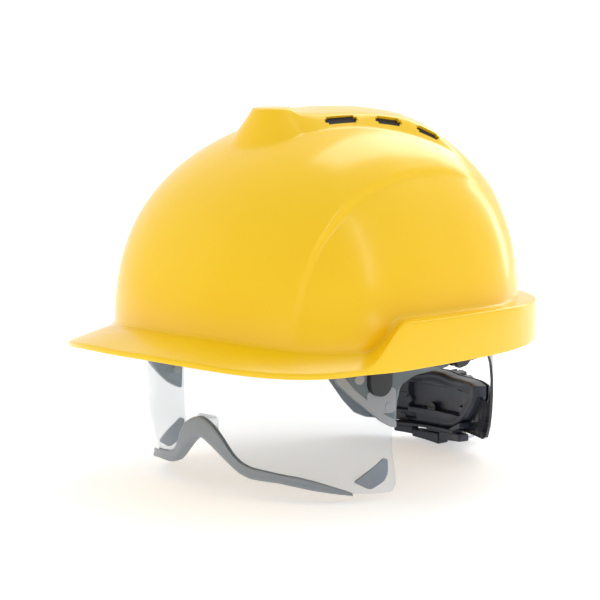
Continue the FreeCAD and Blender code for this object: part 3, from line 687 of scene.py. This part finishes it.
def rounded_box(name, centre, size, bevel, segments=3):
    build = bmesh.new()
    bmesh.ops.create_cube(build, size=1.0)
    for vert in build.verts:
        vert.co = Vector([c + v * s for c, v, s in zip(centre, vert.co, size)])
    bmesh.ops.bevel(build, geom=list(build.edges), offset=bevel, segments=segments, affect="EDGES")
    points = [tuple(v.co) for v in build.verts]
    faces = [[v.index for v in f.verts] for f in build.faces]
    build.free()
    obj = make_object(name, points, faces)
    smooth_by_angle(obj, 35)
    return obj


def joined(name, objects):
    select_only(objects)
    bpy.ops.object.join()
    objects[0].name = name
    return objects[0]


def make_nose_bridge():
    """A clear clip behind the middle of the trim: a bar with a lip and two small feet."""
    bar = rounded_box("bar", (0, -94.4, -41.5), (15.6, 3.0, 9.6), 1.0)
    lip = rounded_box("lip", (0, -94.9, -37.2), (12.0, 3.4, 1.8), 0.6)
    feet = [rounded_box("foot", (s * 4.6, -93.8, -44.0), (3.2, 3.2, 4.6), 0.7) for s in (1, -1)]
    return joined("nose_clip", [bar, lip] + feet)


def wall_x(y, inset=0.0):
    """Half width of the shield at a place along it."""
    depth = LENS_FRONT - LENS_REAR - inset
    share = np.clip(np.abs(np.minimum(y + LENS_REAR, 0)) / depth, 0, 1)
    return (LENS_HALF - inset) * (1 - share ** LENS_OVAL) ** (1 / LENS_OVAL)


def smooth_outline(points):
    """A closed outline with its corners softened by three rounds of corner cutting."""
    ring = np.array(points, float)
    for _ in range(3):
        after = np.roll(ring, -1, axis=0)
        ring = np.stack([ring * 0.88 + after * 0.12, ring * 0.12 + after * 0.88], axis=1).reshape(-1, 2)
    return ring


def wall_plate(name, outline, inset, thick, side):
    """A plate that follows the shield's side wall, from an outline in (y, z)."""
    build = bmesh.new()
    ring = [build.verts.new((0, y, z)) for y, z in outline]
    build.faces.new(ring)
    bmesh.ops.triangulate(build, faces=list(build.faces))
    for _ in range(3):
        long = [e for e in build.edges if e.calc_length() > 3.0]
        bmesh.ops.subdivide_edges(build, edges=long, cuts=1)
        bmesh.ops.triangulate(build, faces=list(build.faces))
    bmesh.ops.recalc_face_normals(build, faces=list(build.faces))
    base = [np.array(v.co) for v in build.verts]
    faces = [[v.index for v in f.verts] for f in build.faces]
    edges = [e for e in build.edges if len(e.link_faces) == 1]
    rim = [(e.verts[0].index, e.verts[1].index) for e in edges]
    build.free()
    points = []
    for depth in (0.0, thick):
        for b in base:
            points.append((side * float(wall_x(b[1], inset + depth)), b[1], b[2]))
    count = len(base)
    faces = faces + [[i + count for i in reversed(f)] for f in faces]
    faces += [(a, b, b + count, a + count) for a, b in rim]
    obj = make_object(name, points, faces)
    face_outwards(obj)
    smooth_by_angle(obj, 40)
    return obj


PATCH = [(-60.8, -67.6), (-53.7, -63.6), (-46.5, -60.0), (-41.0, -56.8), (-38.2, -58.0), (-37.9, -65.2),
         (-40.6, -69.4), (-50.8, -73.0)]
ARM = [(-74, -2), (-73, -12), (-66, -20), (-56, -28.5), (-47, -35.5), (-38.2, -40.0), (-36.6, -39),
       (-36.2, -27), (-33, -17.5), (-22, -13.4), (4.5, -12.4), (10, -9.6), (12, -4), (10.0, 0.4), (4.5, 2.6),
       (-20, 1.4), (-50, 1)]
ARM_BEAD = [(-73.6, -9), (-73, -12), (-66, -20), (-56, -28.5), (-47, -35.5), (-38.2, -40.0), (-36.8, -39.4),
            (-37, -36), (-46, -31.6), (-55, -24.8), (-64.5, -16.6), (-70.5, -8.8)]
ARM_PAD = [(-57.5, -18.0), (-57.5, -26.0), (-52, -30.5), (-37.4, -31.5), (-37.2, -17.5)]
TAB_MIDDLE, TAB_HALF, TAB_TOP, TAB_INSET = (-50, -13.6), 7.4, -4.2, -5.1


def make_arm(side, hand):
    plate = wall_plate(f"{hand}_arm_plate", smooth_outline(ARM), -2.15, 1.9, side)
    bead = wall_plate(f"{hand}_arm_bead", smooth_outline(ARM_BEAD), -2.75, 0.7, side)
    pad = wall_plate(f"{hand}_arm_pad", smooth_outline(ARM_PAD), -2.65, 0.6, side)
    return plate, bead, pad


def make_tab(side, hand):
    """A ribbed finger tab with a round lower end."""
    turns = np.linspace(0, math.pi, 25)
    y, z = TAB_MIDDLE
    outline = [(y - TAB_HALF * math.cos(t), z - TAB_HALF * math.sin(t)) for t in turns]
    outline += [(y + TAB_HALF, TAB_TOP), (y - TAB_HALF, TAB_TOP)]
    tab = wall_plate(f"{hand}_tab", outline, TAB_INSET, 2.7, side)
    ribs = [rounded_box("rib", (side * float(wall_x(y, -2.5)), y, level), (0.5, 8.0, 0.7), 0.2)
            for level in (-16.5, -13.5, -10.5, -7.5)]
    return joined(f"{hand}_finger_tab", [tab] + ribs)


# ------------------------------------------------------------------ nape ratchet

RACK_CENTRE = 5.0
HOUSING_SPREAD, HOUSING_INNER, HOUSING_OUTER = 30, 85.2, 93.2
COVER_SPREAD, COVER_INNER, COVER_OUTER = 29.4, 94.9, 97.3
KNOB_LEVEL, KNOB_RIM, KNOB_RIM_WIDE = -58, 21.0, 2.2
COVER_ARC = 1.68
NAPE_TOP = [(-30, -38.5), (-24, -38.0), (-8, -37.8), (-5, -37.6), (-2.5, -35.9), (4, -35.9), (10, -37.6),
            (24, -37.4), (30, -38.5)]
NAPE_LOW = [(-30, -45), (-27, -51), (-23, -57), (-19, -62.5), (-13, -68), (-8, -69.6), (8, -69.6), (13, -68),
            (19, -62.5), (23, -57), (27, -51), (30, -45)]


def on_ring(turn, radius, z):
    return radius * np.sin(turn), RACK_CENTRE + radius * np.cos(turn), z


def inside_box(t, z, left, right, low, high, soft_t, soft_z):
    return (step(t, left - soft_t, left + soft_t) * (1 - step(t, right - soft_t, right + soft_t))
            * step(z, low - soft_z, low + soft_z) * (1 - step(z, high - soft_z, high + soft_z)))


def nape_relief(t, z):
    """How far the housing's inner face stands in or out, in millimetres outwards from the head."""
    deep = inside_box(t, z, -11.0, 17.5, -59.2, -44.6, 0.5, 0.7)
    upper_right = inside_box(t, z, 16.5, 20.5, -53.0, -44.0, 0.5, 0.8)
    relief = 4.2 * np.maximum(deep, upper_right)
    notch = inside_box(t, z, -19.5, -15.8, -52.0, -42.5, 0.4, 0.6)
    low_left = inside_box(t, z, -20.5, -11.8, -61.5, -51.0, 0.5, 0.7)
    relief = np.maximum(relief, 2.6 * np.maximum(notch, low_left))
    slot_low = inside_box(t, z, -17.5, -8.0, -66.6, -63.4, 0.3, 0.45)
    relief = np.maximum(relief, 3.4 * slot_low)
    boss = 1 - step(np.hypot((t + 11.6) * 1.47, z + 55.3), 2.0, 2.7)
    relief = relief * (1 - boss) + 1.4 * boss
    return relief


def make_housing():
    columns, rows = 241, 121
    turn = np.radians(np.linspace(-HOUSING_SPREAD, HOUSING_SPREAD, columns))
    degrees = np.degrees(turn)
    top = ramp(NAPE_TOP, degrees)
    low = ramp(NAPE_LOW, degrees)
    stack = []
    for r in range(rows):
        share = r / (rows - 1)
        z = top + (low - top) * share
        border = np.minimum(np.minimum(top - z, z - low), (HOUSING_SPREAD - np.abs(degrees)) * 1.4)
        rounding = 2.4 * (1 - np.sqrt(np.clip(1 - (1 - np.clip(border / 3.0, 0, 1)) ** 2, 0, 1)))
        swell = -0.8 * step(border, 3, 7)
        radius = HOUSING_INNER + swell + rounding + nape_relief(degrees, z)
        stack.append(np.stack(on_ring(turn, radius, z), axis=1))
    for r in range(rows - 1, -1, -6):
        share = r / (rows - 1)
        z = top + (low - top) * share
        stack.append(np.stack(on_ring(turn, np.full(columns, HOUSING_OUTER), z), axis=1))
    body = closed_loop("nape_shell", stack)
    smooth_by_angle(body, 42)
    return body


def make_cover():
    """The outer plate that closes the racks in, in the housing's own outline, with a rim round the knob."""
    columns, rows = 121, 41
    turn = np.radians(np.linspace(-COVER_SPREAD, COVER_SPREAD, columns))
    degrees = np.degrees(turn)
    top, low = ramp(NAPE_TOP, degrees), ramp(NAPE_LOW, degrees) - 3.0 * step(20 - np.abs(degrees), 0, 4)
    stack = []
    for r in range(rows):
        z = top + (low - top) * r / (rows - 1)
        border = np.minimum(np.minimum(top - z, z - low), (COVER_SPREAD - np.abs(degrees)) * 1.5)
        rounding = 1.6 * (1 - step(border, 0, 2.4))
        past_rim = np.hypot(degrees * COVER_ARC, z - KNOB_LEVEL) - KNOB_RIM
        rim_ring = 0.8 * step(past_rim, 0, 0.6) * (1 - step(past_rim, KNOB_RIM_WIDE, KNOB_RIM_WIDE + 0.8))
        stack.append(np.stack(on_ring(turn, COVER_OUTER - rounding + rim_ring, z), axis=1))
    for r in range(rows - 1, -1, -4):
        z = top + (low - top) * r / (rows - 1)
        stack.append(np.stack(on_ring(turn, np.full(columns, COVER_INNER), z), axis=1))
    cover = closed_loop("cover_plate", stack, flip=True)
    smooth_by_angle(cover, 42)
    return cover


def ring_block(name, left, right, inner, outer, low, high, bevel):
    """A block bent round the racks' axis. low and high are heights, each a pair for the two ends."""
    columns = 25
    turns = np.radians(np.linspace(left, right, columns))
    share = np.linspace(0, 1, columns)
    bottom = low[0] + (low[1] - low[0]) * share
    top = high[0] + (high[1] - high[0]) * share
    rows = [on_ring(turns, np.full(columns, r), z) for r, z in
            ((inner, top), (outer, top), (outer, bottom), (inner, bottom))]
    obj = closed_loop(name, [np.stack(r, axis=1) for r in rows])
    build = bmesh.new()
    build.from_mesh(obj.data)
    bmesh.ops.recalc_face_normals(build, faces=list(build.faces))
    sharp = [e for e in build.edges if len(e.link_faces) == 2 and e.calc_face_angle(0) > 0.6]
    bmesh.ops.bevel(build, geom=sharp, offset=bevel * MM, segments=2, affect="EDGES")
    build.to_mesh(obj.data)
    build.free()
    smooth_by_angle(obj, 40)
    return obj


def make_lips():
    """The layered lips and the stepped chin below the housing."""
    pieces = [ring_block("lip", -19, 15, 82.6, 90.0, (-71.2, -70.6), (-69.6, -69.0), 0.3),
              ring_block("lip", 12, 20, 83.2, 90.0, (-70.8, -66.0), (-68.2, -63.0), 0.3),
              ring_block("chin", -18, -9, 84.0, 91.0, (-75.5, -76.2), (-71.6, -71.6), 0.5),
              ring_block("chin", -9.2, 5, 83.4, 92.0, (-77.4, -79.6), (-73.4, -73.4), 0.5),
              ring_block("chin", 4.8, 18.5, 84.0, 91.0, (-77.0, -75.0), (-71.6, -70.6), 0.5),
              ring_block("rail", -17, -8, 85.0, 88.0, (-73.6, -73.8), (-72.4, -72.6), 0.3),
              ring_block("rail", -3, 11, 85.0, 88.0, (-73.0, -72.2), (-71.6, -71.0), 0.3)]
    return joined("nape_lips", pieces)


# ------------------------------------------------------------------ cradle

BAND_HALF, BAND_LONG, BAND_SHIFT, BAND_OVAL = 80.0, 97.0, 2.0, 2.4
PAD_INSET, PAD_LOW, PAD_TALL, PAD_SPREAD, PAD_END = 2.4, -9, 28, 72, -22
WEB_REACH, WEB_RISE, WEB_FOOT, WEB_TAIL, WEB_WIDE = 96.4, 84.0, 14.0, 14.0, 20.0
WEB_OFFSET, KEY_X, KEY_Y = 0.7, 57.6, 71.3
PATCH_SIDE, STITCH_PITCH, STITCH_LINE = 28.0, 2.2, 12.0


def make_sweatband():
    """A padded brow band: full in the middle, pinched at its stitched edges."""
    turn = np.linspace(-1.0, 1.0, 241) * math.radians(PAD_SPREAD)
    section = []
    for k in range(28):
        a = 2 * math.pi * k / 28
        across = 2.0 - 2.1 * math.cos(a)
        up = 0.5 + 0.5 * math.copysign(abs(math.sin(a)) ** 0.6, math.sin(a))
        section.append((across, up))
    rows = []
    for across, up in section:
        puff = 1 + 0.06 * np.cos(turn * 60)
        depth = PAD_INSET + across * puff
        x, y = oval_point(turn, BAND_HALF - depth, BAND_LONG - depth, BAND_LONG - depth, BAND_OVAL)
        z = np.full(len(turn), PAD_LOW + PAD_TALL * up)
        rows.append(np.stack([x, y + BAND_SHIFT, z], axis=1))
    rows = np.array(rows)
    pad = closed_loop("brow_pad", rows[:, rows[0, :, 1] < PAD_END])
    smooth_by_angle(pad, 60)
    return pad


def make_webbing(side, lift, hand):
    """A webbing strap over the head, with thick selvedges and tails beside the headband."""
    reach, rise = WEB_REACH + WEB_OFFSET, WEB_RISE + lift + WEB_OFFSET
    arch, tail = 120, 8
    path = [(-reach, WEB_FOOT - WEB_TAIL + WEB_TAIL * k / tail) for k in range(tail)]
    path += [(-reach * math.cos(math.pi * k / arch), WEB_FOOT + rise * math.sin(math.pi * k / arch))
             for k in range(arch + 1)]
    path += [(reach, WEB_FOOT - WEB_TAIL * k / tail) for k in range(1, tail + 1)]
    path = np.array(path)
    run = np.gradient(path, axis=0)
    run /= np.linalg.norm(run, axis=1, keepdims=True)
    out = np.stack([-run[:, 1], run[:, 0]], axis=1)
    angle = side * math.atan2(KEY_Y + BAND_SHIFT, KEY_X)
    section = [(-10, 0), (-9.8, 0.45), (-9.3, 0.6), (-8.6, 0.45), (-4, 0.4), (0, 0.38), (4, 0.4), (8.6, 0.45),
               (9.3, 0.6), (9.8, 0.45), (10, 0)]
    section += [(w, -t) for w, t in reversed(section[1:-1])]
    rows = []
    for w, t in section:
        along = path + out * t
        x, y = along[:, 0], np.full(len(path), w * WEB_WIDE / 20)
        rows.append(np.stack([x * math.cos(angle) - y * math.sin(angle),
                              x * math.sin(angle) + y * math.cos(angle) + BAND_SHIFT, along[:, 1]], axis=1))
    strap = closed_loop(f"{hand}_webbing", rows)
    face_outwards(strap)
    smooth_by_angle(strap, 60)
    length = float(np.linalg.norm(np.diff(path, axis=0), axis=1).sum())
    return strap, length


def make_cloth_patch():
    """The patch sewn where the straps cross, with a row of stitches along its edge."""
    low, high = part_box("strap_patch")
    centre = (np.array(low) + np.array(high)) / 2 / MM - RIM / MM
    size = (np.array(high) - np.array(low)) / MM
    cloth = rounded_box("cloth", centre, size, 0.45, 3)
    stitches = []
    for k in range(-5, 6):
        for s in (1, -1):
            along, across = k * STITCH_PITCH, s * STITCH_LINE
            for x, y, long in ((along, across, (1.5, 0.5, 0.4)), (across, along, (0.5, 1.5, 0.4))):
                middle = centre + np.array([x, y, size[2] / 2])
                stitches.append(rounded_box("stitch", middle, long, 0.15, 2))
    return cloth, joined("patch_stitches", stitches)


# ------------------------------------------------------------------ build

make_camera()
make_stage()

nodes = frame["nodes"]
yellow = shell_yellow()
dark = moulded("black_nylon", (0.010, 0.012, 0.015), (0.016, 0.018, 0.022), (0.32, 0.45), 1400, 0.00004)
slate = moulded("slate_nylon", (0.022, 0.028, 0.038), (0.032, 0.038, 0.050), (0.30, 0.42), 1400, 0.00004, 0.2)
# screen is the near-black of the plates behind the vents: painted shade seen through the slots
screen = moulded("vent_shade_black", (0.012, 0.012, 0.014), (0.02, 0.02, 0.022), (0.5, 0.6), 900, 0.00004)
grey = moulded("grey_elastomer", (0.22, 0.25, 0.28), (0.27, 0.30, 0.33), (0.35, 0.5), 1200, 0.00003)
smoke = clear_plastic("smoke_plastic", (0.27, 0.32, 0.35), 0.2, 0.985, Transmission_Weight=0.5, IOR=1.2)
clear = clear_plastic("clear_polycarbonate", (0.36, 0.46, 0.56), 0.04, 0.97, Alpha=0.17)
web = woven("webbing_weave", (0.02, 0.022, 0.025), (0.08, 0.085, 0.09), 160)
steel = metal("plated_steel")
foam = moulded("brow_foam", (0.025, 0.027, 0.030), (0.04, 0.042, 0.046), (0.75, 0.9), 420, 0.0004)
foam.node_tree.nodes["Principled BSDF"].inputs["Sheen Weight"].default_value = 0.4
thread = moulded("grey_thread", (0.22, 0.22, 0.22), (0.3, 0.3, 0.3), (0.6, 0.8), 2500, 0.00005)
smoke_light = clear_plastic("smoke_light_plastic", (0.50, 0.52, 0.55), 0.22, 0.985, Transmission_Weight=0.4,
                            IOR=1.2)
blackened = moulded("blackened_steel", (0.012, 0.013, 0.015), (0.02, 0.021, 0.024), (0.3, 0.4), 900, 0.00003)
arm_black = moulded("arm_nylon", (0.010, 0.012, 0.016), (0.014, 0.017, 0.022), (0.16, 0.24), 700, 0.00002,
                    0.3)
grey_flat = moulded("patch_elastomer", (0.20, 0.225, 0.26), (0.225, 0.25, 0.285), (0.45, 0.6), 1200, 0.00003)
nape_black = moulded("nape_nylon", (0.019, 0.025, 0.042), (0.025, 0.032, 0.052), (0.34, 0.44), 1300, 0.00003,
                     0.05)

SLOT_MATERIALS = {"shell": yellow, "screen": screen, "band": slate, "foam": foam, "webbing": web,
                  "dark": dark, "clear": clear, "clear_soft": clear, "trim": grey, "smoke": smoke,
                  "nape": slate, "steel": steel}
for part in frame["record"]["subparts"]:
    obj = nodes[part["node"]]
    obj.data.materials.clear()
    obj.data.materials.append(SLOT_MATERIALS[part["material_slot"]])

for name, material in (("arm_rivets", smoke_light), ("axle_screw", blackened), ("left_rack_arm", arm_black),
                       ("right_rack_arm", arm_black)):
    nodes[name].data.materials.clear()
    nodes[name].data.materials.append(material)


def place(obj, material, body, slot, *replaced):
    obj.data.materials.clear()
    obj.data.materials.append(material)
    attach(obj, body)
    if replaced:
        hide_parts(*replaced)
    return obj


place(make_shell(), yellow, "helmet", "shell", "shell")
# dark plates behind the vents: painted shade for the slots
place(make_vent_shade_plates(), screen, "helmet", "screen")
place(lean_in(make_lens()), clear, "visor", "clear", "lens")
place(lean_in(make_trim()), grey, "visor", "trim", "lens_trim")
place(make_nose_bridge(), clear, "visor", "clear_soft", "nose_bridge")
for hand, side in (("left", 1), ("right", -1)):
    plate, bead, pad = make_arm(side, hand)
    place(plate, smoke, "visor", "smoke", f"{hand}_lens_arm")
    place(bead, smoke_light, "visor", "smoke")
    place(pad, smoke_light, "visor", "smoke")
    place(make_tab(side, hand), dark, "visor", "dark", f"{hand}_lens_tab")
    patch = wall_plate(f"{hand}_corner_patch", smooth_outline(PATCH), 2.3, 1.0, side)
    place(patch, grey_flat, "visor", "trim", *(["corner_pads"] if side > 0 else []))
place(make_housing(), nape_black, "nape", "nape", "nape_housing")
place(make_lips(), nape_black, "nape", "nape")
place(make_cover(), nape_black, "nape", "nape", "nape_cover")

pad = place(make_sweatband(), foam, "helmet", "foam", "sweatband")
for hand, side, lift in (("left", 1, 0.0), ("right", -1, 1.9)):
    strap, length = make_webbing(side, lift, hand)
    place(strap, web, "helmet", "webbing", f"{hand}_crown_strap")
cloth, stitches = make_cloth_patch()
place(cloth, web, "helmet", "webbing", "strap_patch")
place(stitches, thread, "helmet", "webbing")
